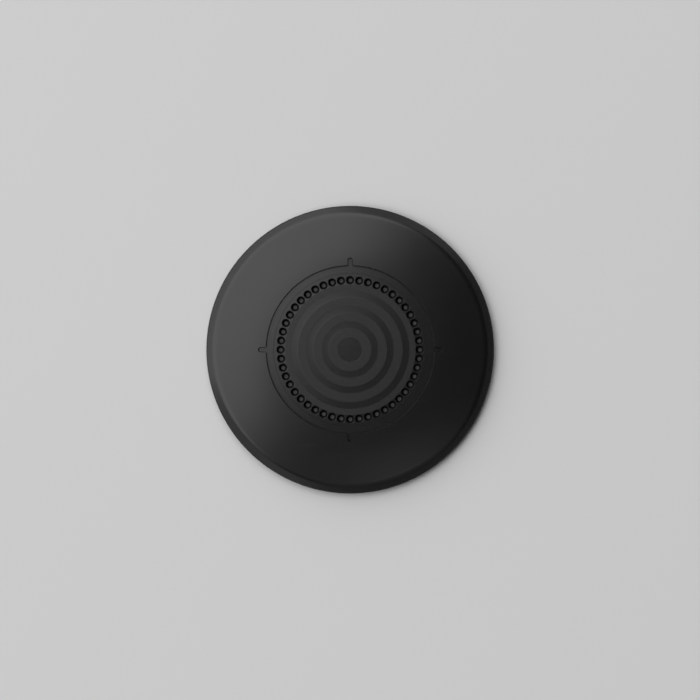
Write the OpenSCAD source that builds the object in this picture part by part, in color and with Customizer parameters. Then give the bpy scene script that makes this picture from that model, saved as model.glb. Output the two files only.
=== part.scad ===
// Adhesive magnetic phone patch: a low round dome with a foam pad that sticks it to a flat surface.
// Its middle is a stepped docking face with a ring of index dimples, over a ring of magnets.
// Millimetres. +Z points out of the docking face. +X and +Y run through the keyways.
// The origin is the centre of the adhesive face.

/* [Dome and rim] */
// Diameter over the rim
patch_d = 62; // [56:0.5:80]
// Height of the rim's shoulder over the base plate's inner face
shoulder_over = 1.5; // [1.2:0.05:2]
// Height of the steep band from the rim's edge up to the shoulder
band_rise = 1.62; // [1.2:0.02:2]
// Slope of the steep band, in degrees
band_angle = 42; // [30:1:60]
// Slope of the dome where it meets the shoulder, in degrees
dome_slope = 11.5; // [9:0.5:15]
// Radius that blends the dome into the steep band
shoulder_r = 2.3; // [0.5:0.1:4]
// Radius on the edge under the steep band
edge_r = 0.25; // [0.1:0.05:0.5]
// How far the rim reaches down past the base plate
rim_drop = 0.3; // [0.1:0.05:0.4]
// Chamfer round the rim's foot
foot_chamfer = 0.12; // [0.05:0.01:0.25]
// Thickness of the dome's wall
shell_wall = 1.15; // [0.8:0.05:1.3]

/* [Docking recess] */
// Height of the round step where the recess starts
recess_step = 0.56; // [0.3:0.02:0.6]
// Chamfer on the top of that step
recess_chamfer = 0.05; // [0.03:0.01:0.15]
// Chamfer on the insert's edge, across the gap from that step
insert_chamfer = 0.06; // [0.03:0.01:0.15]
// Width of the collar land inside the step
collar_w = 1.6; // [1.2:0.1:2.5]
// Height of the low wall at the collar land's inner edge
collar_step = 0.05; // [0.04:0.01:0.3]
// Width of that wall seen from above, because it slants
collar_slant = 0.05; // [0.04:0.01:0.3]
// Land between the low wall and the dimples
dimple_land_w = 0.65; // [0.3:0.05:1]

/* [Index dimples] */
// How many dimples stand in the ring
dimple_count = 48; // [24:4:52]
// Diameter of a dimple
dimple_d = 1.7; // [1:0.1:1.8]
// Length of a dimple's straight wall, on its side towards the middle
dimple_wall_h = 0.25; // [0.2:0.05:0.5]
// Depth of the tapered part under that wall
dimple_taper_h = 0.5; // [0.3:0.05:0.8]
// Diameter of a dimple's flat floor
dimple_floor_d = 0.8; // [0.4:0.1:0.9]
// Material between the magnet pockets and the dimples
dimple_inset = 1.05; // [0.8:0.05:1.6]

/* [Ringed middle] */
// Radius of the sphere that the docking face is part of
face_sphere_r = 190; // [160:5:260]
// Thickness of the face at its middle
face_t = 1; // [0.9:0.05:1.6]
// Radius of the polished spot in the middle
spot_r = 2.65; // [1.5:0.05:3.5]
// How many polished rings surround the spot
ring_count = 3; // [1:1:3]
// Radius of the first polished ring, at the middle of its width
ring_first_r = 5.33; // [4.8:0.01:5.8]
// Distance from one polished ring to the next
ring_pitch = 3.35; // [2.8:0.05:3.6]
// Width of a polished ring
ring_w = 1.5; // [0.8:0.05:2]
// How far the spot and the rings are sunk below the matte face
ring_depth = 0.02; // [0.01:0.01:0.15]

/* [Keys] */
// How many keys hold the insert from turning
key_count = 4; // [2:1:8]
// Width of a key
key_w = 0.9; // [0.6:0.1:2]
// How far a key reaches out past the recess step
key_reach = 1.6; // [1:0.05:2.5]

/* [Insert's flange] */
// Thickness of the shell's lip over the flange
lip_t = 1.15; // [0.8:0.05:1.5]
// How far the flange reaches past the keys
flange_reach = 0.25; // [0.2:0.05:0.6]
// Thickness of the flange
flange_t = 0.88; // [0.6:0.02:1.2]

/* [Magnets and yoke] */
// How many disc magnets stand in the ring
magnet_count = 8; // [4:2:8]
// Diameter of a magnet
magnet_d = 6; // [4:0.5:7]
// Thickness of a magnet
magnet_t = 2; // [1.5:0.25:3]
// Radius of the ring of magnets
magnet_ring_r = 10; // [9:0.1:11]
// Wall between the magnet pockets and the insert's hollow middle
carrier_wall = 0.75; // [0.5:0.05:1.5]
// Thickness of the steel yoke
yoke_t = 0.6; // [0.4:0.1:1]
// How far the yoke reaches past the magnets
yoke_margin = 1.5; // [1:0.1:1.8]
// How far the yoke reaches into the hollow middle
yoke_lap = 0.7; // [0.2:0.1:1.5]

/* [Base plate and stakes] */
// Thickness of the base plate
base_t = 0.7; // [0.6:0.05:1.2]
// Width of the rim round the base plate
rim_w = 2; // [1.6:0.1:2.6]
// Width of the ledge that the base plate bears on
ledge_w = 1.4; // [0.8:0.1:2.4]
// How many stakes hold the base plate
stake_count = 8; // [3:1:12]
// Diameter of a stake
stake_d = 2; // [1.2:0.1:2.6]
// How far a stake's formed head reaches past its shank
stake_head_w = 0.5; // [0.3:0.05:0.7]
// Thickness of a stake's formed head
stake_head_t = 0.35; // [0.2:0.05:0.45]
// How many ribs stiffen the dome
rib_count = 16; // [8:4:24]
// Thickness of a rib
rib_t = 0.8; // [0.5:0.1:1.2]

/* [Adhesive pad] */
// Thickness of the foam pad
pad_t = 0.8; // [0.5:0.05:1.5]
// Gap between the pad's edge and the rim
pad_gap = 0.5; // [0.2:0.1:3]

/* [Fits] */
// Gap round the insert's edge and its keys
insert_gap = 0.1; // [0.05:0.01:0.15]
// Gap round the magnets and the stakes
seat_gap = 0.05; // [0.02:0.01:0.1]
// Gap round the base plate and round the flange
plate_gap = 0.1; // [0.05:0.01:0.2]
// Gap round the yoke
yoke_gap = 0.3; // [0.1:0.05:0.4]

/* [Hidden] */
$fn = 96;

// Heights of the stack, from the adhesive face up to the middle of the docking face
base_z = pad_t;
base_top = base_z + base_t;
yoke_top = base_top + yoke_t;
magnet_top = yoke_top + magnet_t;
face_z = magnet_top + face_t;

// Radii from the insert's hollow middle outwards
magnet_r = magnet_d / 2;
pocket_r = magnet_r + seat_gap;
carrier_bore_r = magnet_ring_r - pocket_r - carrier_wall;
yoke_bore_r = carrier_bore_r - yoke_lap;
yoke_r = magnet_ring_r + magnet_r + yoke_margin;
skirt_in_r = yoke_r + yoke_gap;
dimple_r = dimple_d / 2;
dimple_ring_r = magnet_ring_r + pocket_r + dimple_inset + dimple_r;
slant_foot_r = dimple_ring_r + dimple_r + dimple_land_w;
collar_r = slant_foot_r + collar_slant;
recess_r = collar_r + collar_w;
key_end_r = recess_r + key_reach;
flange_r = key_end_r + flange_reach;
flange_seat_r = flange_r + plate_gap;
rib_start_r = flange_seat_r + plate_gap;

// Radii from the rim inwards
patch_r = patch_d / 2;
rebate_r = patch_r - rim_w;
ledge_r = rebate_r - ledge_w;
pad_r = rebate_r - pad_gap;
stake_r = stake_d / 2;
stake_ring_r = (flange_seat_r + ledge_r) / 2;

// Rim: the corners under and over the steep band, before they are rounded
rim_z = base_z - rim_drop;
corner_z = base_top + shoulder_over;
edge_z = corner_z - band_rise;
corner_r = patch_r - band_rise / tan(band_angle);

// Height at radius r of a sphere about [0, centre_z]
function ball_z(centre_z, ball_r, r) = centre_z + sqrt(pow(ball_r, 2) - pow(r, 2));

// The face and the collar land are spheres about one centre
face_centre_z = face_z - face_sphere_r;
function face_height(r, step = 0) = ball_z(face_centre_z, face_sphere_r + step, r);

// The shoulder's arc fills the corner between the dome's last slope and the steep band
shoulder_reach = shoulder_r * tan((band_angle - dome_slope) / 2);
dome_end = [corner_r, corner_z] + shoulder_reach * [-cos(dome_slope), sin(dome_slope)];
shoulder_c = dome_end - shoulder_r * [sin(dome_slope), cos(dome_slope)];
edge_turn = 90 - band_angle;
edge_c = [patch_r - edge_r, edge_z - edge_r * tan(edge_turn / 2)];

// The dome leaves the recess step as steeply as the collar land below it, and ends at the shoulder.
// Its profile is the cubic curve that has these two heights and slopes
recess_top = face_height(recess_r, collar_step) + recess_step;
recess_slope = recess_r / (recess_top - recess_step - face_centre_z);
dome_w = dome_end[0] - recess_r;
function cubic(t) = 2 * pow(t, 3) - 3 * pow(t, 2);
function dome_curve(t) = recess_top + cubic(t) * (recess_top - dome_end[1])
    - dome_w * (recess_slope * t * pow(1 - t, 2) + tan(dome_slope) * pow(t, 2) * (t - 1));
function dome_height(r, sunk = 0) = dome_curve((r - recess_r) / dome_w) - sunk;

// The insert's edge under the lip, and the heights where a dimple's taper begins and ends
lip_z = recess_top - lip_t;
insert_r = recess_r - insert_gap;
insert_edge_z = face_height(insert_r, collar_step) - insert_chamfer;
dimple_taper_z = face_height(dimple_ring_r - dimple_r) - dimple_wall_h;
dimple_floor_z = dimple_taper_z - dimple_taper_h;

// How deep ribs and stakes are rooted in the dome's wall
root = 0.3;
// How far a cutting shape runs past what it cuts
past = 1;
// Sides of a dimple
dimple_sides = 32;

// Points of an arc about c, from angle a0 to a1 in n steps, the first of them left out if asked
function arc(c, r, a0, a1, n, first = 0) = [
    for (i = [first:n]) let (a = a0 + (a1 - a0) * i / n) c + r * [cos(a), sin(a)]
];

// Points on the face's sphere, or one a step above it, from radius r0 to r1 in n steps
function face_points(r0, r1, n, step = 0) = [
    for (i = [0:n]) let (r = r0 + (r1 - r0) * i / n) [r, face_height(r, step)]
];

// Points on the dome's curve, or sunk below it, from radius r0 to r1 in n steps
function dome_points(r0, r1, n, sunk = 0) = [
    for (i = [0:n]) let (r = r0 + (r1 - r0) * i / n) [r, dome_height(r, sunk)]
];

// Copies of the children round the axis
module around(count, start = 0) {
    for (i = [0:count - 1]) rotate([0, 0, start + 360 * i / count]) children();
}

// Cylinder whose axis is at radius r, from height z0 to z1
module post(r, radius, z0, z1) {
    translate([r, 0, z0]) cylinder(h = z1 - z0, r = radius);
}

// A bar along +X from radius r0, with a round tip at r1
module round_bar(r0, r1, w, z0, z1) {
    translate([r0, -w / 2, z0]) cube([r1 - w / 2 - r0, w, z1 - z0]);
    post(r1 - w / 2, w / 2, z0, z1);
}

// A shank that starts at z0, with a conical head that widens to the base plate's outer face
module headed_shank(radius, z0, z1) {
    post(stake_ring_r, radius, z0, z1);
    translate([stake_ring_r, 0, base_z])
        cylinder(h = stake_head_t, r1 = radius + stake_head_w, r2 = radius);
}

// Section of the shell: step, dome, shoulder, steep band, edge, foot, rebate, ledge, inner skin, lip
module shell_section() {
    polygon(concat(
        [[recess_r, lip_z], [recess_r, recess_top - recess_chamfer]],
        dome_points(recess_r + recess_chamfer, dome_end[0], 16),
        arc(shoulder_c, shoulder_r, 90 - dome_slope, edge_turn, 8, first = 1),
        arc(edge_c, edge_r, edge_turn, 0, 5),
        [[patch_r, rim_z + foot_chamfer], [patch_r - foot_chamfer, rim_z]],
        [[rebate_r, rim_z], [rebate_r, base_top], [ledge_r, base_top]],
        dome_points(ledge_r, flange_seat_r, 8, shell_wall),
        [[flange_seat_r, lip_z]]
    ));
}

// Ribs under the dome, from the flange's seat to the ledge
module ribs() {
    around(rib_count, 180 / rib_count)
        rotate([90, 0, 0]) linear_extrude(height = rib_t, center = true) polygon(concat(
            [[rib_start_r, base_top], [ledge_r + root, base_top]],
            dome_points(ledge_r + root, rib_start_r, 4, shell_wall - root)
        ));
}

// Stakes through the base plate, their heads formed flush into its countersinks
module stakes() {
    around(stake_count, 180 / stake_count)
        headed_shank(stake_r, base_z, dome_height(stake_ring_r, shell_wall - root));
}

// Notches in the recess step that the insert's keys stand in
module keyways() {
    keyway_w = key_w + 2 * insert_gap;
    keyway_end_r = key_end_r + insert_gap;
    around(key_count)
        round_bar(recess_r - past, keyway_end_r, keyway_w, lip_z - past, recess_top + past);
}

module outer_shell() {
    color("#2b2b2d") union() {
        difference() {
            rotate_extrude() shell_section();
            keyways();
        }
        ribs();
        stakes();
    }
}

// Inner and outer edge of sunk ring i, where ring 0 is the spot
function ring_in(i) = ring_first_r + (i - 1) * ring_pitch - ring_w / 2;
function ring_out(i) = i == 0 ? spot_r : ring_in(i) + ring_w;

// The face's outline from the middle to the low wall: each sunk ring has sides at 45 degrees
function face_outline() = concat(
    face_points(0, spot_r - ring_depth, 3, -ring_depth),
    [
        for (i = [1:ring_count]) each concat(
            face_points(ring_out(i - 1), ring_in(i), 3),
            face_points(ring_in(i) + ring_depth, ring_out(i) - ring_depth, 3, -ring_depth)
        )
    ],
    face_points(ring_out(ring_count), slant_foot_r, 5)
);

// Section of the insert: face, low wall, collar land, edge, flange, skirt and magnet carrier
module insert_section() {
    polygon(concat(
        [[0, magnet_top]],
        face_outline(),
        face_points(collar_r, insert_r - insert_chamfer, 3, collar_step),
        [
            [insert_r, insert_edge_z], [insert_r, lip_z], [flange_r, lip_z],
            [flange_r, lip_z - flange_t], [slant_foot_r, lip_z - flange_t],
            [slant_foot_r, base_top], [skirt_in_r, base_top],
            [skirt_in_r, yoke_top], [carrier_bore_r, yoke_top], [carrier_bore_r, magnet_top]
        ]
    ));
}

// The keys carry the collar land outwards into the shell's keyways
module keys() {
    key_root_z = lip_z - flange_t / 2;
    intersection() {
        around(key_count) round_bar(collar_r, key_end_r, key_w, key_root_z, recess_top);
        rotate_extrude() polygon(concat(
            [[collar_r, key_root_z]],
            face_points(collar_r, key_end_r + past, 6, collar_step),
            [[key_end_r + past, key_root_z]]
        ));
    }
}

// Blind dimples, each a short straight wall over a taper that ends on a small flat floor
module dimples() {
    around(dimple_count) translate([dimple_ring_r, 0, 0])
        rotate_extrude($fn = dimple_sides) polygon([
            [0, dimple_floor_z], [dimple_floor_d / 2, dimple_floor_z],
            [dimple_r, dimple_taper_z], [dimple_r, face_z + past], [0, face_z + past]
        ]);
}

// Pockets that the magnets are pressed into from below
module magnet_pockets() {
    around(magnet_count, 180 / magnet_count)
        post(magnet_ring_r, pocket_r, yoke_top - past, magnet_top);
}

module docking_insert() {
    color("#252527") difference() {
        union() {
            rotate_extrude() insert_section();
            keys();
        }
        dimples();
        magnet_pockets();
    }
}

module magnet(i) {
    color("#b9bcc2") rotate([0, 0, (i - 0.5) * 360 / magnet_count])
        post(magnet_ring_r, magnet_r, yoke_top, magnet_top);
}

// Steel ring behind the magnets that closes their field
module yoke_plate() {
    color("#8d9196") difference() {
        post(0, yoke_r, base_top, yoke_top);
        post(0, yoke_bore_r, base_top - past, yoke_top + past);
    }
}

// Plate that closes the back, with a countersunk hole for each stake
module base_plate() {
    color("#303033") difference() {
        post(0, rebate_r - plate_gap, base_z, base_top);
        around(stake_count, 180 / stake_count)
            headed_shank(stake_r + seat_gap, base_z - past, base_top + past);
    }
}

// Foam disc, sticky on both sides
module adhesive_pad() {
    color("#3a3a3c") post(0, pad_r, 0, pad_t);
}

outer_shell();
docking_insert();
for (i = [1:magnet_count]) magnet(i);
yoke_plate();
base_plate();
adhesive_pad();
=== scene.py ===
import math

import bpy
import numpy as np
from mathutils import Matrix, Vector


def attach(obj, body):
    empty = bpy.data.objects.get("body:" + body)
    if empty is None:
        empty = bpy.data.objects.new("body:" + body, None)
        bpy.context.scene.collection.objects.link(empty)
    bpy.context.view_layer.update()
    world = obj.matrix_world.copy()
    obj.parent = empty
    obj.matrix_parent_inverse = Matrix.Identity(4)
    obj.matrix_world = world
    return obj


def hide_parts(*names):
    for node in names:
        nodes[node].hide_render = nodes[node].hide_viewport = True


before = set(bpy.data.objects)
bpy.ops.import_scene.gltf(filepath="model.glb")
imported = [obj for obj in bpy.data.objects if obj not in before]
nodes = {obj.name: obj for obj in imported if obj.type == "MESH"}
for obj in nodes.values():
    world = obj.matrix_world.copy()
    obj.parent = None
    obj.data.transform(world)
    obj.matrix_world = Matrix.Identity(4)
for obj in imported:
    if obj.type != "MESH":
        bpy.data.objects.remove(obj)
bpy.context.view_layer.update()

print("frame loaded:", len(nodes), "solids")


# Points are worked out in millimetres, as whole arrays.
perMetre = 1000.0
sharpAngle = 38.0              # degrees between faces; sharper edges aren't shaded smooth


def makePiece(name, points, faces):
    # faces is a list of index arrays, each of quads or of triangles; points that coincide are welded
    keys = np.round(points * 1e5).astype(np.int64)
    _, first, back = np.unique(keys, axis=0, return_index=True, return_inverse=True)
    points = points[first] * 0.001  # to metres
    loops, starts, count = [], [], 0
    for part in faces:
        welded = back.reshape(-1)[part]
        size = welded.shape[1]
        loops.append(welded.ravel())
        starts.append(count + size * np.arange(len(welded)))
        count += welded.size
    mesh = bpy.data.meshes.new(name)
    mesh.vertices.add(len(points))
    mesh.vertices.foreach_set("co", points.astype(np.float32).ravel())
    mesh.loops.add(count)
    mesh.loops.foreach_set("vertex_index", np.concatenate(loops).astype(np.int32))
    starts = np.concatenate(starts)
    mesh.polygons.add(len(starts))
    mesh.polygons.foreach_set("loop_start", starts.astype(np.int32))
    mesh.update(calc_edges=True)
    mesh.validate()
    mesh.polygons.foreach_set("use_smooth", np.ones(len(mesh.polygons), bool))
    mesh.set_sharp_from_angle(angle=math.radians(sharpAngle))
    piece = bpy.data.objects.new(name, mesh)
    bpy.context.scene.collection.objects.link(piece)
    return piece


def ringQuads(rows, columns, start=0, closedRows=False):
    # Each quad joins a row to the next one and a column to the next. For rows that run outwards over the top
    # and then down, the quads are anticlockwise seen from outside.
    row = np.arange(rows if closedRows else rows - 1)[:, None]
    column = np.arange(columns)[None, :]
    nextRow, nextColumn = (row + 1) % rows, (column + 1) % columns
    corners = [row * columns + column, nextRow * columns + column,
               nextRow * columns + nextColumn, row * columns + nextColumn]
    return np.stack([c + 0 * (row + column) for c in corners], -1).reshape(-1, 4) + start


def circleRows(radii, heights, angles):
    # one circle of points for each radius and height
    radii, heights = np.asarray(radii, float)[:, None], np.asarray(heights, float)[:, None]
    return np.stack([radii * np.cos(angles), radii * np.sin(angles), heights + 0 * angles], -1)


def softStep(x, start, end, soft):
    # rises from 0 to 1 between start and end, with both corners rounded over about the width soft
    rise = np.sqrt((x - start) ** 2 + soft ** 2) - np.sqrt((x - end) ** 2 + soft ** 2)
    return (rise / (end - start) + 1) / 2


def arcPoints(centre, radius, fromAngle, toAngle, steps):
    # centre plus radius times cosine and sine, at equal steps of the angle
    angle = np.radians(np.linspace(fromAngle, toAngle, steps + 1))
    return np.stack([centre[0] + radius * np.cos(angle), centre[1] + radius * np.sin(angle)], -1)


# sizes that the docking face and the dome share
face = {
    "topHeight": 5.1,
    "sphereRadius": 190.0,
    "collarStep": 0.05,        # the collar land stands this much over the face
    "lowWall": (16.465, 16.5),  # radii where the groove at the wall's foot is full depth, and of the wall's top
    "groove": 0.04,            # depth of that groove
    "recessRadius": 18.1,
    "recessStep": 0.56,
    "bands": [(-2.65, 2.65), (4.58, 6.08), (7.93, 9.43), (11.28, 12.78)],  # polished, a little sunk
    "matteRadius": 14.05,      # the matte ground ends here
    "bandSlope": (0.1, 0.03),  # width of the slope at a band's edge, and its rounding
    "sunk": 0.003,
    "lowered": 0.0145,         # the whole face lies this much lower, so its middle keeps the solid's height
}


def sphereHeight(r, step=0.0):
    # root of the sphere's radius squared less r squared, over a centre on the axis
    centre = face["topHeight"] - face["sphereRadius"]
    return centre + np.sqrt((face["sphereRadius"] + step) ** 2 - r ** 2)


def faceHeight(r):
    # sphere, sunk a little in the polished bands; outside the low wall it is a larger sphere
    slope, soft = face["bandSlope"]
    sunk = sum(softStep(r, a, a + slope, soft) - softStep(r, b - slope, b, soft) for a, b in face["bands"])
    land = sphereHeight(r, np.where(r < face["lowWall"][1], 0.0, face["collarStep"]))
    return land - face["lowered"] - face["sunk"] * sunk


def slottedOutline(radius, halfWidth, endRadius, fillet, arcAngles, tipSteps, filletSteps, sideSteps):
    # Seen from above, anticlockwise: a circle with a round-ended slot outwards at each quarter turn.
    # Half a slot is a quarter circle at the tip, a straight side and a fillet into the big circle;
    # it is mirrored for the other half and turned for the other slots. Returns points and plan normals.
    tipX = endRadius - halfWidth
    filletY = halfWidth + fillet
    filletX = math.sqrt((radius + fillet) ** 2 - filletY ** 2)
    mouth = math.atan2(filletY, filletX)
    a = np.linspace(0, math.pi / 2, tipSteps + 1)
    tip = np.stack([tipX + halfWidth * np.cos(a), halfWidth * np.sin(a)], -1)
    tipNormal = np.stack([np.cos(a), np.sin(a)], -1)
    x = np.linspace(tipX, filletX, sideSteps + 1)[1:-1]
    side = np.stack([x, halfWidth + 0 * x], -1)
    sideNormal = np.stack([0 * x, 1 + 0 * x], -1)
    a = np.linspace(-math.pi / 2, mouth - math.pi, filletSteps + 1)
    bend = np.stack([filletX + fillet * np.cos(a), filletY + fillet * np.sin(a)], -1)
    bendNormal = -np.stack([np.cos(a), np.sin(a)], -1)
    a = np.radians(arcAngles(math.degrees(mouth)))
    arcNormal = np.stack([np.cos(a), np.sin(a)], -1)
    half = np.concatenate([tip, side, bend])
    halfNormal = np.concatenate([tipNormal, sideNormal, bendNormal])
    back = np.stack([half[:0:-1, 1], half[:0:-1, 0]], -1)  # mirrored in the line x = y
    backNormal = np.stack([halfNormal[:0:-1, 1], halfNormal[:0:-1, 0]], -1)
    quarter = np.concatenate([half, radius * arcNormal, back])
    quarterNormal = np.concatenate([halfNormal, arcNormal, backNormal])
    turns = [np.array([[c, s], [-s, c]]) for c, s in ((1, 0), (0, 1), (-1, 0), (0, -1))]
    return np.concatenate([quarter @ t for t in turns]), np.concatenate([quarterNormal @ t for t in turns])


dome = {
    "rimRadius": 31.0,
    "cornerHeight": 3.0,       # where the dome's last slope would meet the steep band
    "endSlope": 11.5,
    "shoulderRadius": 2.3,
    "bandSlope": 42.0,
    "bandRise": 1.62,
    "edgeRadius": 0.25,
    "footHeight": 0.5,
    "footChamfer": 0.12,
    "footSupport": 0.05,       # rows this far above the chamfer and twice as far behind it keep its shading crisp
    "rebateRadius": 29.0,
    "rebateBevel": 0.05,
    "plateTop": 1.5,
    "ledgeRadius": 27.6,
    "wall": 1.15,
    "flangeSeat": 20.05,
    "lip": 1.15,
    "slot": (0.55, 19.8),      # half width and outer end of a keyway
    "slotCorner": 0.12,
    "edgeRound": 0.015,
    "blend": (0.04, 0.1, 0.2, 0.35, 0.55, 0.78),  # shares of the way from the slotted edge to a plain circle
    "blendRadius": 20.6,
}
recessTop = sphereHeight(face["recessRadius"], face["collarStep"]) + face["recessStep"]
lipHeight = recessTop - dome["lip"]

# the shoulder fills the corner, and the dome ends where it starts
endTilt, bandTilt = math.radians(dome["endSlope"]), math.radians(dome["bandSlope"])
shoulderReach = dome["shoulderRadius"] * math.tan((bandTilt - endTilt) / 2)
domeEnd = (dome["rimRadius"] - dome["bandRise"] / math.tan(bandTilt) - shoulderReach * math.cos(endTilt),
           dome["cornerHeight"] + shoulderReach * math.sin(endTilt))


def domeHeight(r):
    # cubic curve through two heights with two slopes, in t from the recess step to the shoulder
    width = domeEnd[0] - face["recessRadius"]
    t = (r - face["recessRadius"]) / width
    startSlope = face["recessRadius"] / (face["sphereRadius"] + face["collarStep"])
    startSlope /= math.sqrt(1 - startSlope ** 2)
    fall = (2 * t ** 3 - 3 * t ** 2) * (recessTop - domeEnd[1])
    return recessTop + fall - width * (startSlope * t * (1 - t) ** 2 + math.tan(endTilt) * t ** 2 * (t - 1))


def makeDome():
    # Every row has the outline's directions. The rows climb the step, blend from the slotted outline into
    # circles, follow the section out, down and in under the ledge, and close on the first row.
    outline, normal = slottedOutline(
        face["recessRadius"], *dome["slot"], dome["slotCorner"],
        lambda mouth: np.linspace(mouth, 90 - mouth, 131)[1:-1], tipSteps=10, filletSteps=5, sideSteps=4)
    angles = np.arctan2(outline[:, 1], outline[:, 0])

    def row(plan, height):
        return np.concatenate([plan, (height + 0 * plan[:, 0])[:, None]], 1)

    rows = [row(outline, lipHeight)]
    rounding = dome["edgeRound"]
    for a in np.radians([0, 22.5, 45, 67.5, 90]):  # the rounded top edge of the step and the keyways
        plan = outline + normal * rounding * (1 - math.cos(a))
        rows.append(row(plan, domeHeight(np.hypot(*plan.T)) - rounding * (1 - math.sin(a))))
    circle = dome["blendRadius"] * np.stack([np.cos(angles), np.sin(angles)], -1)
    edge = outline + normal * rounding
    for share in dome["blend"]:
        plan = edge * (1 - share) + circle * share
        rows.append(row(plan, domeHeight(np.hypot(*plan.T))))
    r = np.linspace(dome["blendRadius"], domeEnd[0], 22)
    section = [np.stack([r, domeHeight(r)], -1)]
    # shoulder, steep band, rounded edge, upright edge and chamfered foot
    centre = np.array(domeEnd) - dome["shoulderRadius"] * np.array([math.sin(endTilt), math.cos(endTilt)])
    turn = 90 - dome["bandSlope"]
    section.append(arcPoints(centre, dome["shoulderRadius"], 90 - dome["endSlope"], turn, 10)[1:])
    edgeHeight = dome["cornerHeight"] - dome["bandRise"]
    edgeCentre = (dome["rimRadius"] - dome["edgeRadius"],
                  edgeHeight - dome["edgeRadius"] * math.tan(math.radians(turn / 2)))
    lower = arcPoints(edgeCentre, dome["edgeRadius"], turn, 0, 6)
    upper = section[-1][-1]
    section.append(upper + (lower[0] - upper) * np.linspace(0.25, 0.75, 3)[:, None])
    section.append(lower)
    rim, foot, chamfer = dome["rimRadius"], dome["footHeight"], dome["footChamfer"]
    rebate, bevel, support = dome["rebateRadius"], dome["rebateBevel"], dome["footSupport"]
    section.append(np.array([
        (rim, foot + chamfer + support), (rim, foot + chamfer), (rim - chamfer * 0.3, foot + chamfer * 0.3),
        (rim - chamfer, foot), (rim - chamfer - 2 * support, foot), (rebate + bevel, foot),
        (rebate, foot + bevel), (rebate, dome["plateTop"]), (dome["ledgeRadius"], dome["plateTop"])]))
    r = np.linspace(dome["ledgeRadius"], dome["flangeSeat"], 9)
    section.append(np.stack([r, domeHeight(r) - dome["wall"]], -1))
    section.append(np.array([(dome["flangeSeat"], lipHeight)]))
    section = np.concatenate(section)
    rows = np.concatenate([np.stack(rows), circleRows(section[:, 0], section[:, 1], angles)])
    return makePiece("dome_shell", rows.reshape(-1, 3), [ringQuads(len(rows), len(angles), closedRows=True)])


domeShell = makeDome()
print("dome built:", len(domeShell.data.polygons), "faces")


insert = {
    "columns": 768,            # sixteen for each dimple
    "outline": (18.09, 0.44, 19.69),  # radius, and half width and outer end of a key
    "corner": 0.22,
    "blend": (0.3, 0.6, 0.85, 1.0),   # shares of the way from the last circle to the keyed edge
    "rebate": (0.06, 0.12),    # width and depth, along the outline
    "dimpleCount": 48,
    "dimpleRing": 14.95,
    "dimpleRadius": 0.88,
    "dimpleEdge": 0.03,
    "taper": (4.326, 3.826),   # heights of the top and the foot of a dimple's taper
    "taperRound": 0.03,        # softens the top and the foot of the taper
    "floorRadius": 0.4,
    "cell": (14.0, 15.9),      # ring that holds the dimples
    "landRadius": 16.2,        # plain circles inside and outside the low wall
    "collarRadii": (16.6, 16.75, 17.0),
    "grooveFlank": 0.02,       # width of the groove's inner flank
    "lean": 0.004,             # the low wall and the rebate's wall lean by this much
    "flangeRadius": 19.95,
    "flange": 0.88,
    "skirt": (16.45, 14.8),
    "skirtFoot": 1.5,
    "hollow": (14.2, 2.12, 4.1),  # radius, foot and top of the hollow that holds the magnets
}


def dimpleCells(points, faces):
    # A cell is a sector of the ring with a round hole. Each point of its border has a ray to the dimple's
    # centre; rows run along the rays from the border to the edge, round it, and down the taper to the floor.
    inner, outer = insert["cell"]
    half = math.pi / insert["dimpleCount"]
    across = np.linspace(-half, half, insert["columns"] // insert["dimpleCount"] + 1)
    up = np.linspace(inner, outer, 7)
    border = np.concatenate([
        np.stack([inner + 0 * across[:-1], across[::-1][:-1]], -1),
        np.stack([up[:-1], -half + 0 * up[:-1]], -1),
        np.stack([outer + 0 * across[:-1], across[:-1]], -1),
        np.stack([up[::-1][:-1], half + 0 * up[:-1]], -1)])
    plan = np.stack([border[:, 0] * np.cos(border[:, 1]), border[:, 0] * np.sin(border[:, 1])], -1)
    centre = np.array([insert["dimpleRing"], 0.0])
    ray = plan - centre
    ray /= np.hypot(*ray.T)[:, None]
    radius, edge = insert["dimpleRadius"], insert["dimpleEdge"]

    def onFace(p, drop=0.0):
        return np.concatenate([p, (faceHeight(np.hypot(*p.T)) - drop)[:, None]], 1)

    rows = [onFace(plan), onFace((plan + centre + ray * (radius + edge)) / 2)]
    for a in np.radians([0, 22.5, 45, 67.5, 90]):
        rows.append(onFace(centre + ray * (radius + edge * (1 - math.sin(a))), edge * (1 - math.cos(a))))
    (top, foot), small, soft = insert["taper"], insert["floorRadius"], insert["taperRound"]
    for r, z in ((radius, top + soft), (radius - 0.7 * soft, top - 0.7 * soft), (small + soft, foot + soft),
                 (small - 0.2 * soft, foot + 0.2 * soft), (small - soft, foot), (small / 2, foot)):
        rows.append(np.concatenate([centre + ray * r, np.full((len(ray), 1), z)], 1))
    cell = np.stack(rows)  # rows, border points, xyz
    turn = 2 * half * np.arange(insert["dimpleCount"])
    c, s = np.cos(turn)[:, None, None], np.sin(turn)[:, None, None]
    cells = np.stack([cell[..., 0] * c - cell[..., 1] * s, cell[..., 0] * s + cell[..., 1] * c,
                      cell[..., 2] + 0 * c], -1)
    bottoms = np.stack([centre[0] * np.cos(turn), centre[0] * np.sin(turn),
                        0 * turn + foot], -1)
    start = sum(len(p) for p in points)
    block = len(rows) * len(plan)
    offset = block * np.arange(len(turn))[:, None, None]
    quads = ringQuads(len(rows), len(plan))[None] + offset
    last = (len(rows) - 1) * len(plan) + np.arange(len(plan))
    fans = np.stack([last, last * 0 - 1, np.roll(last, -1)], -1)[None] + offset
    fans[..., 1] = len(turn) * block + np.arange(len(turn))[:, None]
    faces[0].append(quads.reshape(-1, 4)[:, ::-1] + start)  # turned over, because the rows run inwards
    faces[1].append(fans.reshape(-1, 3)[:, ::-1] + start)
    points += [cells.reshape(-1, 3), bottoms]


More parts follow.
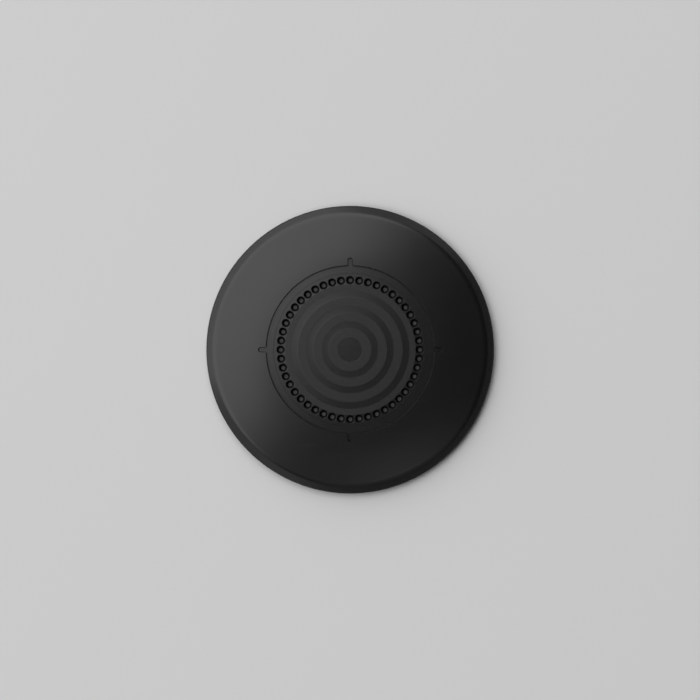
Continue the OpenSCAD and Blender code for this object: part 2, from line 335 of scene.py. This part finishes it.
def makeInsert():
    # Circles at the height of the face from the pole out to the dimples, a ring of dimple cells, and rows from
    # there to the keyed outline, down the edge and the flange, and in under the skirt to a second pole.
    columns = insert["columns"]
    angles = 2 * math.pi * np.arange(columns) / columns
    step = 360 / columns
    points, faces = [], [[], []]

    # ringed middle, with rows close together at the edges of the bands: half as many columns, then one row
    # of triangles to the full number
    edges = np.array([r for band in face["bands"] for r in band if r > 0])
    near = (edges[:, None] + np.array([-0.1, -0.05, 0.0, 0.05, 0.1])).ravel()
    radii = np.unique(np.concatenate([np.linspace(0.5, 13.6, 15), near]))
    inner = circleRows(radii, faceHeight(radii), angles[::2])
    points += [inner.reshape(-1, 3), np.array([[0, 0, faceHeight(np.array(0.0))]])]
    faces[0].append(ringQuads(len(radii), columns // 2))
    pole = len(radii) * columns // 2
    first = np.arange(columns // 2)
    faces[1].append(np.stack([0 * first + pole, first, np.roll(first, -1)], -1))
    start = sum(len(p) for p in points)
    rim = circleRows([insert["cell"][0]], faceHeight(np.array([insert["cell"][0]])), angles).reshape(-1, 3)
    points.append(rim)
    a = (len(radii) - 1) * columns // 2 + first
    b, c, d = start + 2 * first, start + 2 * first + 1, start + (2 * first + 2) % columns
    after = (len(radii) - 1) * columns // 2 + np.roll(first, -1)
    faces[1] += [np.stack([a, b, c], -1), np.stack([a, c, after], -1), np.stack([after, c, d], -1)]

    dimpleCells(points, faces)

    # land, groove, low wall and collar land as circles, then rows that run out to the keyed outline
    low, high = face["lowWall"]
    radii = np.array([insert["cell"][1], insert["landRadius"], low - insert["grooveFlank"], low,
                      high - insert["lean"], high, *insert["collarRadii"]])
    drop = face["groove"] * np.array([0, 0, 0, 1, 1, 0, 0, 0, 0])
    rows = list(circleRows(radii, faceHeight(radii) - drop, angles))

    def arcAngles(mouth):
        plain = np.arange(10, columns // 4 - 9) * step
        near = np.linspace(mouth, 10 * step, 4)[1:3]
        return np.concatenate([near, plain, 90 - near[::-1]])

    outline, normal = slottedOutline(*insert["outline"], insert["corner"], arcAngles,
                                     tipSteps=4, filletSteps=2, sideSteps=1)
    rebateWidth, rebateDepth = insert["rebate"]
    edge = outline - normal * rebateWidth
    circle = rows[-1][:, :2]
    for share in insert["blend"]:
        plan = circle * (1 - share) + edge * share
        rows.append(np.concatenate([plan, faceHeight(np.hypot(*plan.T))[:, None]], 1))
    for inset in (rebateWidth - insert["lean"], 0.0):
        plan = outline - normal * inset
        height = faceHeight(np.hypot(*plan.T)) - rebateDepth
        rows.append(np.concatenate([plan, height[:, None]], 1))
    top, bottom = lipHeight, lipHeight - insert["flange"]
    rows.append(np.concatenate([outline, np.full((columns, 1), top)], 1))
    (out, back), foot = insert["skirt"], insert["skirtFoot"]
    bore, hollowFoot, hollowTop = insert["hollow"]
    section = np.array([
        (insert["flangeRadius"], top), (insert["flangeRadius"], bottom), (out, bottom), (out, foot),
        (back, foot), (back, hollowFoot), (bore, hollowFoot), (bore, hollowTop)])
    rows = np.concatenate([np.stack(rows), circleRows(section[:, 0], section[:, 1], angles)])
    start = sum(len(p) for p in points)
    faces[0].append(ringQuads(len(rows), columns, start))
    points += [rows.reshape(-1, 3), np.array([[0, 0, hollowTop]])]
    pole = start + len(rows) * columns
    last = start + (len(rows) - 1) * columns + np.arange(columns)
    faces[1].append(np.stack([last, 0 * last + pole, np.roll(last, -1)], -1))
    return makePiece("docking_face", np.concatenate(points), [np.concatenate(f) for f in faces])


dockingFace = makeInsert()
print("docking face built:", len(dockingFace.data.polygons), "faces")


pad = {"radius": 28.5, "thickness": 0.8, "round": 0.07, "waist": 0.05, "columns": 360}


def makePad():
    # A disc whose cut edge draws in at half its height, as foam does when it is pressed: the radius falls by
    # the waist times the sine of half a turn over the height.
    columns = pad["columns"]
    angles = 2 * math.pi * np.arange(columns) / columns
    t = np.linspace(0, 1, 9)
    side = pad["radius"] - pad["waist"] * np.sin(math.pi * t)
    height = pad["round"] + t * (pad["thickness"] - 2 * pad["round"])
    r = np.linspace(1.5, pad["radius"] - pad["round"], 20)
    section = np.concatenate([
        np.stack([r, 0 * r], -1), np.stack([side, height], -1),
        np.stack([r[::-1], 0 * r + pad["thickness"]], -1)])
    rows = circleRows(section[:, 0], section[:, 1], angles).reshape(-1, 3)
    poles = np.array([[0, 0, 0], [0, 0, pad["thickness"]]])
    column = np.arange(columns)
    last = (len(section) - 1) * columns + column
    below = np.stack([0 * column + len(rows), np.roll(column, -1), column], -1)
    above = np.stack([0 * column + len(rows) + 1, last, np.roll(last, -1)], -1)
    quads = ringQuads(len(section), columns)[:, ::-1]
    return makePiece("foam_pad", np.concatenate([rows, poles]), [quads, np.concatenate([below, above])])


foamPad = makePad()
print("foam pad built:", len(foamPad.data.polygons), "faces")


def nodeGroup(name, inputs, outputs):
    # inputs holds (label, kind of socket, value), outputs holds (label, kind of socket)
    group = bpy.data.node_groups.new(name, "ShaderNodeTree")
    for label, kind, value in inputs:
        socket = group.interface.new_socket(name=label, in_out="INPUT", socket_type=kind)
        if value is not None:
            socket.default_value = value
    for label, kind in outputs:
        group.interface.new_socket(name=label, in_out="OUTPUT", socket_type=kind)
    return group, group.nodes.new("NodeGroupInput"), group.nodes.new("NodeGroupOutput")


def addNode(tree, kind, links=(), **settings):
    # links holds (input, value or output socket)
    node = tree.nodes.new(kind)
    for key, value in settings.items():
        setattr(node, key, value)
    for socket, value in links:
        if isinstance(value, bpy.types.NodeSocket):
            tree.links.new(value, node.inputs[socket])
        else:
            node.inputs[socket].default_value = value
    return node


def math2(tree, operation, a, b=0.0, clamp=False):
    return addNode(tree, "ShaderNodeMath", [(0, a), (1, b)], operation=operation, use_clamp=clamp).outputs[0]


def makeGrainGroup():
    # fine moulded texture for bumps, and broad soft patches for the roughness
    group, given, result = nodeGroup(
        "mouldedGrain",
        [("Vector", "NodeSocketVector", None), ("Grain Size", "NodeSocketFloat", 0.12),
         ("Patch Size", "NodeSocketFloat", 7.0)],
        [("Height", "NodeSocketFloat"), ("Patches", "NodeSocketFloat")])
    fineScale = math2(group, "DIVIDE", perMetre, given.outputs["Grain Size"])
    fine = addNode(group, "ShaderNodeTexNoise", [("Vector", given.outputs["Vector"]), ("Scale", fineScale),
                                                 ("Detail", 2.0), ("Roughness", 0.6)])
    patchScale = math2(group, "DIVIDE", perMetre, given.outputs["Patch Size"])
    patch = addNode(group, "ShaderNodeTexNoise", [("Vector", given.outputs["Vector"]), ("Scale", patchScale),
                                                  ("Detail", 3.0), ("Roughness", 0.5)])
    group.links.new(fine.outputs["Fac"], result.inputs["Height"])
    group.links.new(patch.outputs["Fac"], result.inputs["Patches"])
    return group


handling = {
    "turns": (0.4, 1.5, 2.7),               # directions of the hairlines
    "stretch": (90.0, 2600.0, 90.0),
    "lineLevels": (0.70, 0.78),             # noise between these fades into a hairline
    "dustScale": 420.0,
    "dustLevels": (0.030, 0.018),
}


def makeHandlingGroup():
    # traces of handling: fine hairlines in a few directions, and some specks of dust
    group, given, result = nodeGroup(
        "handlingTraces", [("Vector", "NodeSocketVector", None), ("Amount", "NodeSocketFloat", 1.0)],
        [("Hairlines", "NodeSocketFloat"), ("Dust", "NodeSocketFloat")])
    lines = None
    for turn in handling["turns"]:
        turned = addNode(group, "ShaderNodeMapping", [("Vector", given.outputs["Vector"]),
                         ("Rotation", (0.0, 0.0, turn)), ("Scale", handling["stretch"])])
        streak = addNode(group, "ShaderNodeTexNoise", [("Vector", turned.outputs[0]), ("Scale", 1.0),
                                                       ("Detail", 1.0)])
        thin = addNode(group, "ShaderNodeMapRange", [
            ("Value", streak.outputs["Fac"]), ("From Min", handling["lineLevels"][0]),
            ("From Max", handling["lineLevels"][1]), ("To Min", 0.0), ("To Max", 1.0)])
        lines = thin.outputs[0] if lines is None else math2(group, "MAXIMUM", lines, thin.outputs[0])
    cells = addNode(group, "ShaderNodeTexVoronoi", [("Vector", given.outputs["Vector"]),
                                                    ("Scale", handling["dustScale"])])
    speck = addNode(group, "ShaderNodeMapRange", [
        ("Value", cells.outputs["Distance"]), ("From Min", handling["dustLevels"][0]),
        ("From Max", handling["dustLevels"][1]), ("To Min", 0.0), ("To Max", 1.0)])
    group.links.new(math2(group, "MULTIPLY", lines, given.outputs["Amount"]), result.inputs["Hairlines"])
    group.links.new(math2(group, "MULTIPLY", speck.outputs[0], given.outputs["Amount"]), result.inputs["Dust"])
    return group


def makeEdgeGroup():
    # for edges that get polished: 1 less the distance from the given radius over the width, times noise
    group, given, result = nodeGroup(
        "edgePolish", [("Vector", "NodeSocketVector", None), ("Radius", "NodeSocketFloat", 18.15),
                       ("Width", "NodeSocketFloat", 0.15)], [("Mask", "NodeSocketFloat")])
    parts = addNode(group, "ShaderNodeSeparateXYZ", [(0, given.outputs["Vector"])])
    flat = addNode(group, "ShaderNodeCombineXYZ", [(0, parts.outputs[0]), (1, parts.outputs[1])])
    length = addNode(group, "ShaderNodeVectorMath", [(0, flat.outputs[0])], operation="LENGTH").outputs["Value"]
    away = math2(group, "ABSOLUTE", math2(group, "SUBTRACT", math2(group, "MULTIPLY", length, perMetre),
                                          given.outputs["Radius"]))
    near = math2(group, "SUBTRACT", 1.0, math2(group, "DIVIDE", away, given.outputs["Width"]), clamp=True)
    noise = addNode(group, "ShaderNodeTexNoise", [("Vector", given.outputs["Vector"]), ("Scale", 700.0),
                                                  ("Detail", 3.0)])
    group.links.new(math2(group, "MULTIPLY", near, noise.outputs["Fac"]), result.inputs["Mask"])
    return group


bandLook = {
    "bandSoft": 0.06,          # half the width over which a band's edge fades
    "wallFrom": 0.045,         # depth at which a dimple's wall starts, and its fade
    "wallSoft": 0.02,
    "floorNear": 0.02,         # a floor is this near the foot of the taper, and its fade
    "floorSoft": 0.008,
}


def makeBandGroup():
    # Matte is 1 on the matte ground of the ringed middle and inside the dimples; Wall and Floor are 1 on
    # the walls and on the flat floors of the dimples, which get painted shade and painted light. Seen from
    # outside, all are 0 elsewhere.
    group, given, result = nodeGroup(
        "matteBands", [("Vector", "NodeSocketVector", None)],
        [("Matte", "NodeSocketFloat"), ("Wall", "NodeSocketFloat"), ("Floor", "NodeSocketFloat")])
    parts = addNode(group, "ShaderNodeSeparateXYZ", [(0, given.outputs["Vector"])])
    flat = addNode(group, "ShaderNodeCombineXYZ", [(0, parts.outputs[0]), (1, parts.outputs[1])])
    length = addNode(group, "ShaderNodeVectorMath", [(0, flat.outputs[0])], operation="LENGTH").outputs["Value"]
    radius = math2(group, "MULTIPLY", length, perMetre)

    def rise(at, down=False, value=radius, soft=bandLook["bandSoft"]):
        low, high = (at + soft, at - soft) if down else (at - soft, at + soft)
        return addNode(group, "ShaderNodeMapRange", [("Value", value), ("From Min", low), ("From Max", high),
                       ("To Min", 0.0), ("To Max", 1.0)]).outputs[0]

    mask = rise(face["matteRadius"], down=True)
    for inside, outside in face["bands"]:
        polished = rise(outside, down=True)
        if inside > 0:
            polished = math2(group, "MULTIPLY", polished, rise(inside))
        mask = math2(group, "MULTIPLY", mask, math2(group, "SUBTRACT", 1.0, polished))
    # depth under the face: its top height, less radius squared over twice the sphere's radius, less z
    height = math2(group, "MULTIPLY", parts.outputs[2], perMetre)
    sphere = math2(group, "DIVIDE", math2(group, "MULTIPLY", radius, radius), 2 * face["sphereRadius"])
    depth = math2(group, "SUBTRACT", face["topHeight"] - face["lowered"], math2(group, "ADD", sphere, height))
    ring = math2(group, "MULTIPLY", rise(insert["cell"][0]), rise(insert["cell"][1], down=True))
    inside = math2(group, "MULTIPLY", ring, rise(bandLook["wallFrom"], value=depth, soft=bandLook["wallSoft"]))
    foot, near, soft = insert["taper"][1], bandLook["floorNear"], bandLook["floorSoft"]
    flat = math2(group, "MULTIPLY", rise(foot + near, down=True, value=height, soft=soft),
                 rise(foot - near, value=height, soft=soft))
    group.links.new(math2(group, "MAXIMUM", mask, inside), result.inputs["Matte"])
    group.links.new(math2(group, "SUBTRACT", inside, flat, clamp=True), result.inputs["Wall"])
    group.links.new(flat, result.inputs["Floor"])
    return group


grainGroup = makeGrainGroup()
handlingGroup = makeHandlingGroup()
edgeGroup = makeEdgeGroup()
bandGroup = makeBandGroup()


def newMaterial(name):
    material = bpy.data.materials.new(name)
    material.use_nodes = True
    tree = material.node_tree
    shader = tree.nodes["Principled BSDF"]
    place = tree.nodes.new("ShaderNodeTexCoord").outputs["Object"]
    return material, tree, shader, place


def useGroup(tree, group, place, **values):
    node = tree.nodes.new("ShaderNodeGroup")
    node.node_tree = group
    tree.links.new(place, node.inputs["Vector"])
    for label, value in values.items():
        node.inputs[label.replace("_", " ")].default_value = value
    return node


def fade(tree, value, low, high):
    # carries 0 to 1 into low to high
    return addNode(tree, "ShaderNodeMapRange", [("Value", value), ("To Min", low), ("To Max", high)]).outputs[0]


def mixColour(tree, mask, first, second):
    node = addNode(tree, "ShaderNodeMix", [("Factor", mask)], data_type="RGBA")
    for socket, value in ((node.inputs[6], first), (node.inputs[7], second)):
        if isinstance(value, bpy.types.NodeSocket):
            tree.links.new(value, socket)
        else:
            socket.default_value = (*value, 1.0)
    return node.outputs[2]


blackPlastic = {
    "colour": (0.0065, 0.0065, 0.0066),
    "matteColour": (0.0053, 0.0053, 0.0054),
    "wallShadeColour": (0.018, 0.018, 0.018),     # painted shade on the dimples' walls; Metallic is 1 there, so this dark colour is their gloss
    "dimpleFloorLight": (0.029, 0.029, 0.0295),   # painted light on the dimples' floors: paler than the plastic, standing in for the light they catch
    "dust": (0.05, 0.05, 0.048),
    "domeSatin": 0.282,        # roughness of the dome
    "satin": 0.297,            # roughness of the docking face and its polished bands
    "matte": 0.56,             # roughness of the matte ground
    "specular": 0.5,
    "grain": 0.00001,          # height of the moulded grain, in metres
    "grainSize": 0.11,
    "smoothGrain": 0.25,       # share of the grain's height that is left outside the matte ground
    "patchSize": 9.0,          # broad patches, and how far they change the roughness and the colour
    "patchRough": 0.02,
    "patchColour": 1.12,
    "dustShare": 0.35,
    "hairline": 0.05,          # added to the roughness by hairlines, and taken off it by polish
    "polish": 0.06,
    "domeEdges": [(18.15, 0.12), (30.9, 0.25)],   # radius and width of the polished edges
    "insertEdges": [(17.95, 0.1)],
    "plateEdges": [(28.85, 0.1)],
}


def makePlastic(name, satin, edges, banded=False):
    material, tree, shader, place = newMaterial(name)
    look = blackPlastic
    grain = useGroup(tree, grainGroup, place, Grain_Size=look["grainSize"], Patch_Size=look["patchSize"])
    traces = useGroup(tree, handlingGroup, place, Amount=1.0)
    patches, change = grain.outputs["Patches"], look["patchRough"]
    rough = math2(tree, "ADD", satin - change, fade(tree, patches, 0.0, 2 * change))
    colour = mixColour(tree, patches, look["colour"], tuple(c * look["patchColour"] for c in look["colour"]))
    if banded:
        bands = useGroup(tree, bandGroup, place)
        matte = bands.outputs["Matte"]
        rough = math2(tree, "ADD", rough, math2(tree, "MULTIPLY", matte, look["matte"] - satin))
        colour = mixColour(tree, matte, colour, look["matteColour"])
        # painted shade: the dimples' walls take a dark colour and, below, lose their gloss, so they look shaded
        colour = mixColour(tree, bands.outputs["Wall"], colour, look["wallShadeColour"])
        # painted light: the dimples' floors take a pale colour in place of the light that reaches them
        colour = mixColour(tree, bands.outputs["Floor"], colour, look["dimpleFloorLight"])
        height = math2(tree, "MULTIPLY", grain.outputs["Height"], fade(tree, matte, look["smoothGrain"], 1.0))
        tree.links.new(bands.outputs["Wall"], shader.inputs["Metallic"])  # takes the gloss off the walls
    else:
        height = math2(tree, "MULTIPLY", grain.outputs["Height"], look["smoothGrain"])
    for radius, width in edges:
        polish = useGroup(tree, edgeGroup, place, Radius=radius, Width=width).outputs["Mask"]
        rough = math2(tree, "SUBTRACT", rough, math2(tree, "MULTIPLY", polish, look["polish"]))
    rough = math2(tree, "ADD", rough, math2(tree, "MULTIPLY", traces.outputs["Hairlines"], look["hairline"]))
    dusty = math2(tree, "MULTIPLY", traces.outputs["Dust"], look["dustShare"])
    colour = mixColour(tree, dusty, colour, look["dust"])
    bump = addNode(tree, "ShaderNodeBump", [("Height", height), ("Strength", 1.0), ("Distance", look["grain"])])
    tree.links.new(colour, shader.inputs["Base Color"])
    tree.links.new(rough, shader.inputs["Roughness"])
    tree.links.new(bump.outputs[0], shader.inputs["Normal"])
    shader.inputs["Specular IOR Level"].default_value = look["specular"]
    return material


metals = {
    "nickel": {"colour": (0.62, 0.60, 0.57), "rough": 0.22, "grain": 0.4},
    "zinc": {"colour": (0.50, 0.52, 0.55), "rough": 0.38, "grain": 1.6},
    "patchSize": 3.0,
    "patchColour": 0.8,        # the darkest patches, as a share of the colour
    "patchRough": (0.05, 0.07),   # taken off and added to the roughness by the patches
    "hairline": 0.12,
    "bump": (0.6, 0.00001),    # strength, and height in metres
}


def makeMetal(name, look):
    material, tree, shader, place = newMaterial(name)
    grain = useGroup(tree, grainGroup, place, Grain_Size=look["grain"], Patch_Size=metals["patchSize"])
    traces = useGroup(tree, handlingGroup, place, Amount=1.0)
    patches, (less, more) = grain.outputs["Patches"], metals["patchRough"]
    colour = mixColour(tree, patches, tuple(c * metals["patchColour"] for c in look["colour"]), look["colour"])
    rough = math2(tree, "ADD", fade(tree, patches, look["rough"] - less, look["rough"] + more),
                  math2(tree, "MULTIPLY", traces.outputs["Hairlines"], metals["hairline"]))
    bump = addNode(tree, "ShaderNodeBump", [
        ("Height", grain.outputs["Height"]), ("Strength", metals["bump"][0]), ("Distance", metals["bump"][1])])
    tree.links.new(colour, shader.inputs["Base Color"])
    tree.links.new(rough, shader.inputs["Roughness"])
    tree.links.new(bump.outputs[0], shader.inputs["Normal"])
    shader.inputs["Metallic"].default_value = 1.0
    return material


foam = {
    "colour": (0.022, 0.022, 0.023),
    # painted shade inside the pores
    "pore": (0.007, 0.007, 0.0075),
    "poreSize": 0.22,
    "poreLevels": (0.35, 0.12),   # distances in a cell between which a pore fades in
    "grainSize": 0.08,
    "grainShare": 0.3,         # of the height, beside the pores
    "patchSize": 5.0,
    "rough": 0.78,
    "patchRough": (0.12, 0.06),   # taken off and added to the roughness by the patches
    "bump": (0.7, 0.00004),    # strength, and height in metres
}


def makeFoam():
    # closed cells: small round pores, darker inside as painted shade, in a dull ground with a faint gloss from
    # the adhesive
    material, tree, shader, place = newMaterial("closedCellFoam")
    grain = useGroup(tree, grainGroup, place, Grain_Size=foam["grainSize"], Patch_Size=foam["patchSize"])
    cells = addNode(tree, "ShaderNodeTexVoronoi", [("Vector", place), ("Scale", perMetre / foam["poreSize"])])
    pore = addNode(tree, "ShaderNodeMapRange", [
        ("Value", cells.outputs["Distance"]), ("From Min", foam["poreLevels"][0]),
        ("From Max", foam["poreLevels"][1]), ("To Min", 0.0), ("To Max", 1.0)]).outputs[0]
    # the pores get painted shade
    colour = mixColour(tree, pore, foam["colour"], foam["pore"])
    less, more = foam["patchRough"]
    rough = fade(tree, grain.outputs["Patches"], foam["rough"] - less, foam["rough"] + more)
    depth = math2(tree, "ADD", math2(tree, "MULTIPLY", pore, -1.0),
                  math2(tree, "MULTIPLY", grain.outputs["Height"], foam["grainShare"]))
    bump = addNode(tree, "ShaderNodeBump", [("Height", depth), ("Strength", foam["bump"][0]),
                                            ("Distance", foam["bump"][1])])
    tree.links.new(colour, shader.inputs["Base Color"])
    tree.links.new(rough, shader.inputs["Roughness"])
    tree.links.new(bump.outputs[0], shader.inputs["Normal"])
    return material


def dress(piece, material):
    piece.data.materials.clear()
    piece.data.materials.append(material)


def dressNode(name, material):
    for slot in nodes[name].material_slots:
        slot.material = material


shellPlastic = makePlastic("domePlastic", blackPlastic["domeSatin"], blackPlastic["domeEdges"])
insertPlastic = makePlastic("dockingPlastic", blackPlastic["satin"], blackPlastic["insertEdges"], banded=True)
platePlastic = makePlastic("platePlastic", blackPlastic["satin"], blackPlastic["plateEdges"])
nickel = makeMetal("nickelPlate", metals["nickel"])
zinc = makeMetal("zincPlate", metals["zinc"])
dress(domeShell, shellPlastic)
dress(dockingFace, insertPlastic)
dress(foamPad, makeFoam())
dressNode("base_plate", platePlastic)
dressNode("yoke_plate", zinc)
for name in sorted(n for n in nodes if n.startswith("magnet_")):
    dressNode(name, nickel)
print("finishes made")


for piece, node, slot in ((domeShell, "outer_shell", "shell"), (dockingFace, "docking_insert", "insert"),
                          (foamPad, "adhesive_pad", "foam")):
    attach(piece, "root")
    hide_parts(node)


studio = {
    "floorGrey": 0.66,
    "floorHole": 27.5,         # under the pad, so that the underside gets light from below
    "floorRadii": (60.0, 200.0, 1000.0, 6000.0),
    "floorDrop": 0.02,         # under the pad's face
    "floorShades": (0.995, 1.005),
    "cardGrey": 0.02,
    "dull": 0.9,               # roughness of the floor and the card
    "surround": 0.5,
    "cameraHeight": 1.5,       # in metres, as the next three are; over the height of the rim
    "rimHeight": 0.001,
    "frameWidth": 0.15086,     # of the picture, at the height of the rim
    "frameCentre": (-0.0000444, -0.0000597),
    # azimuth, angle from upright, distance, width, height along the arc, and a lamp's brightness
    "keyLamp": (143.9, 45.5, 2.0, 5.68, 3.18, 1.563),
    "fillLamp": (288.6, 47.5, 1.5, 1.67, 1.42, 0.225),
    "smallLamp": (291.5, 29.0, 1.5, 0.46, 0.26, 0.69),
    "darkCard": (328.4, 43.9, 1.7, 11.6, 4.2),
}


def studioPlace(azimuth, polar, distance):
    # a point on a sphere round the part, and the turn that faces the part from there
    a, p = math.radians(azimuth), math.radians(polar)
    direction = Vector((math.sin(p) * math.cos(a), math.sin(p) * math.sin(a), math.cos(p)))
    return direction * distance, direction.to_track_quat("Z", "Y")


def makeLamp(name, azimuth, polar, distance, width, height, brightness):
    lamp = bpy.data.lights.new(name, "AREA")
    lamp.shape = "RECTANGLE"
    lamp.size, lamp.size_y = width, height
    lamp.energy = brightness * width * height * math.pi  # gives the same brightness at any size
    thing = bpy.data.objects.new(name, lamp)
    thing.location, turn = studioPlace(azimuth, polar, distance)
    thing.rotation_mode = "QUATERNION"
    thing.rotation_quaternion = turn
    thing.visible_camera = False
    bpy.context.scene.collection.objects.link(thing)


def makeFloor():
    # a wide ring round the hole; seen from below it is clear
    columns = 192
    angles = 2 * math.pi * np.arange(columns) / columns
    radii = np.array([studio["floorHole"], *studio["floorRadii"]])
    rows = circleRows(radii, 0 * radii - studio["floorDrop"], angles)
    floor = makePiece("floor", rows.reshape(-1, 3), [ringQuads(len(radii), columns)])
    material, tree, shader, place = newMaterial("paleFloor")
    noise = addNode(tree, "ShaderNodeTexNoise", [("Vector", place), ("Scale", 9.0), ("Detail", 2.0)])
    darker, lighter = ((studio["floorGrey"] * shade,) * 3 for shade in studio["floorShades"])
    tree.links.new(mixColour(tree, noise.outputs["Fac"], darker, lighter), shader.inputs["Base Color"])
    shader.inputs["Roughness"].default_value = studio["dull"]
    shader.inputs["Specular IOR Level"].default_value = 0.0
    clear = tree.nodes.new("ShaderNodeBsdfTransparent")
    side = tree.nodes.new("ShaderNodeNewGeometry").outputs["Backfacing"]
    both = addNode(tree, "ShaderNodeMixShader", [(0, side), (1, shader.outputs[0]), (2, clear.outputs[0])])
    tree.links.new(both.outputs[0], tree.nodes["Material Output"].inputs["Surface"])
    dress(floor, material)


def makeCard(azimuth, polar, distance, width, height):
    # a dark card over the side away from the key lamp, which the lens doesn't see
    x = np.array([-1.0, 1, 1, -1]) * width / 2
    y = np.array([-1.0, -1, 1, 1]) * height / 2
    where, turn = studioPlace(azimuth, polar, distance)
    axes = np.array(turn.to_matrix())
    points = x[:, None] * axes[:, 0] + y[:, None] * axes[:, 1] + np.array(where)
    card = makePiece("dark_card", points * perMetre, [np.array([[3, 2, 1, 0]])])
    material, _, shader, _ = newMaterial("darkCard")
    shader.inputs["Base Color"].default_value = (studio["cardGrey"],) * 3 + (1.0,)
    shader.inputs["Roughness"].default_value = studio["dull"]
    shader.inputs["Specular IOR Level"].default_value = 0.0
    dress(card, material)
    card.visible_camera = False


makeFloor()
makeCard(*studio["darkCard"])
makeLamp("key_lamp", *studio["keyLamp"])
makeLamp("fill_lamp", *studio["fillLamp"])
makeLamp("small_lamp", *studio["smallLamp"])

world = bpy.data.worlds.new("studioSurround")
world.use_nodes = True
world.node_tree.nodes["Background"].inputs["Color"].default_value = (studio["surround"],) * 3 + (1.0,)
bpy.context.scene.world = world

lens = bpy.data.cameras.new("camera")
camera = bpy.data.objects.new("camera", lens)
bpy.context.scene.collection.objects.link(camera)
lens.sensor_width = 36.0
# the focal length is the sensor's width times the camera's height over the picture's width
lens.lens = lens.sensor_width * studio["cameraHeight"] / studio["frameWidth"]
lens.clip_start, lens.clip_end = 0.05, 30.0
camera.location = (*studio["frameCentre"], studio["cameraHeight"] + studio["rimHeight"])
bpy.context.scene.camera = camera
bpy.context.scene.view_settings.view_transform = "Standard"
print("studio and camera set")
